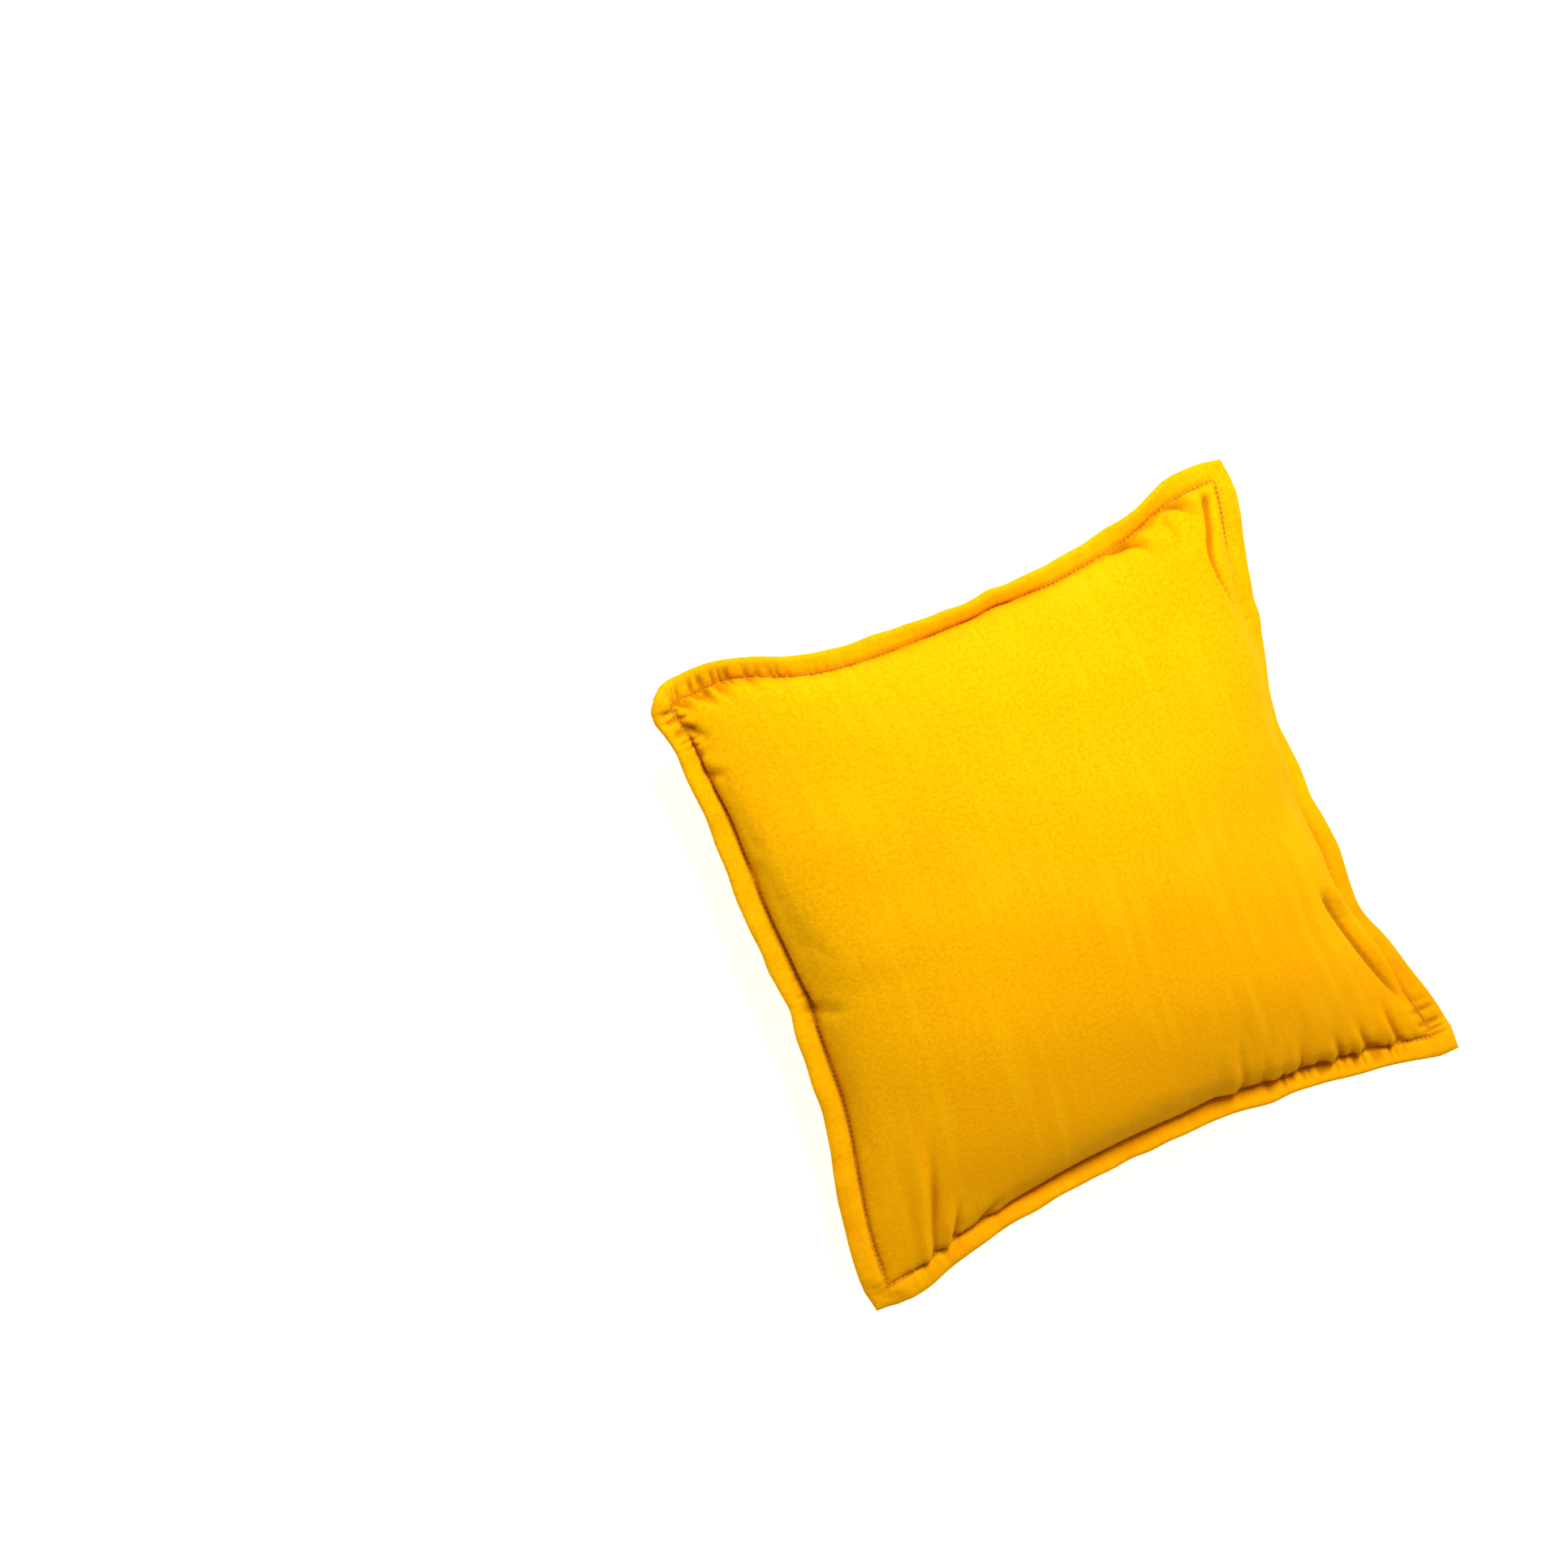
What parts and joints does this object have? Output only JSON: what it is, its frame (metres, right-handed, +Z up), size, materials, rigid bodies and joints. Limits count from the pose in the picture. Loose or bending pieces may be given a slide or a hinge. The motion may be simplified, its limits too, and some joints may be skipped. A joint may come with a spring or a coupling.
{
  "type": "throw pillow",
  "caption": "Square velvet throw pillow with a narrow topstitched flange; the cover zips at the back over a fibre-filled insert.",
  "frame": {"origin": "middle of the flat patch of the back that the pillow rests on", "axes": "+Z up and out of the front face, -Y towards the bottom hem, where the zip is; +X towards the end where the closed zip's slider is"},
  "size_m": [0.436, 0.436, 0.1465],
  "materials": {
    "yellow_velvet": "short-pile velvet with a soft sheen",
    "yellow_thread": "spun polyester thread, dyed to match",
    "zip_tape": "woven tape, dyed to match",
    "zip_coil": "nylon monofilament",
    "painted_zinc": "die-cast zinc, enamelled to match",
    "white_cotton": "plain-weave cotton",
    "polyester_fibre": "loose fibre"
  },
  "bodies": {
    "pillow": {"cover_front": "yellow_velvet", "cover_back_upper": "yellow_velvet", "cover_back_lower": "yellow_velvet", "topstitch_front": "yellow_thread", "topstitch_back": "yellow_thread", "zip_box_stitch": "yellow_thread", "zip_tape_upper": "zip_tape", "zip_tape_lower": "zip_tape", "zip_coil_upper": "zip_coil", "zip_coil_lower": "zip_coil", "zip_top_stop_upper": "painted_zinc", "zip_top_stop_lower": "painted_zinc", "zip_bottom_stop": "painted_zinc", "insert_casing_front": "white_cotton", "insert_casing_back": "white_cotton", "insert_seam_thread": "white_cotton", "insert_fill": "polyester_fibre"},
    "slider": {"zip_slider": "painted_zinc"},
    "pull": {"zip_pull": "painted_zinc"}
  },
  "joints": [
    {"name": "zip_run", "type": "hinge", "parent": "pillow", "child": "slider", "pos_m": [0, -0.15, 0.88637], "axis": [0, 1, 0], "range_deg": [0, 21.2], "deforming": ["zip_coil_upper", "zip_coil_lower"]},
    {"name": "pull_swing", "type": "hinge", "parent": "slider", "child": "pull", "pos_m": [0.15801, -0.1512, 0.04317], "axis": [-0.0865, -0.8829, 0.4614], "range_deg": [-74, 96]}
  ]
}
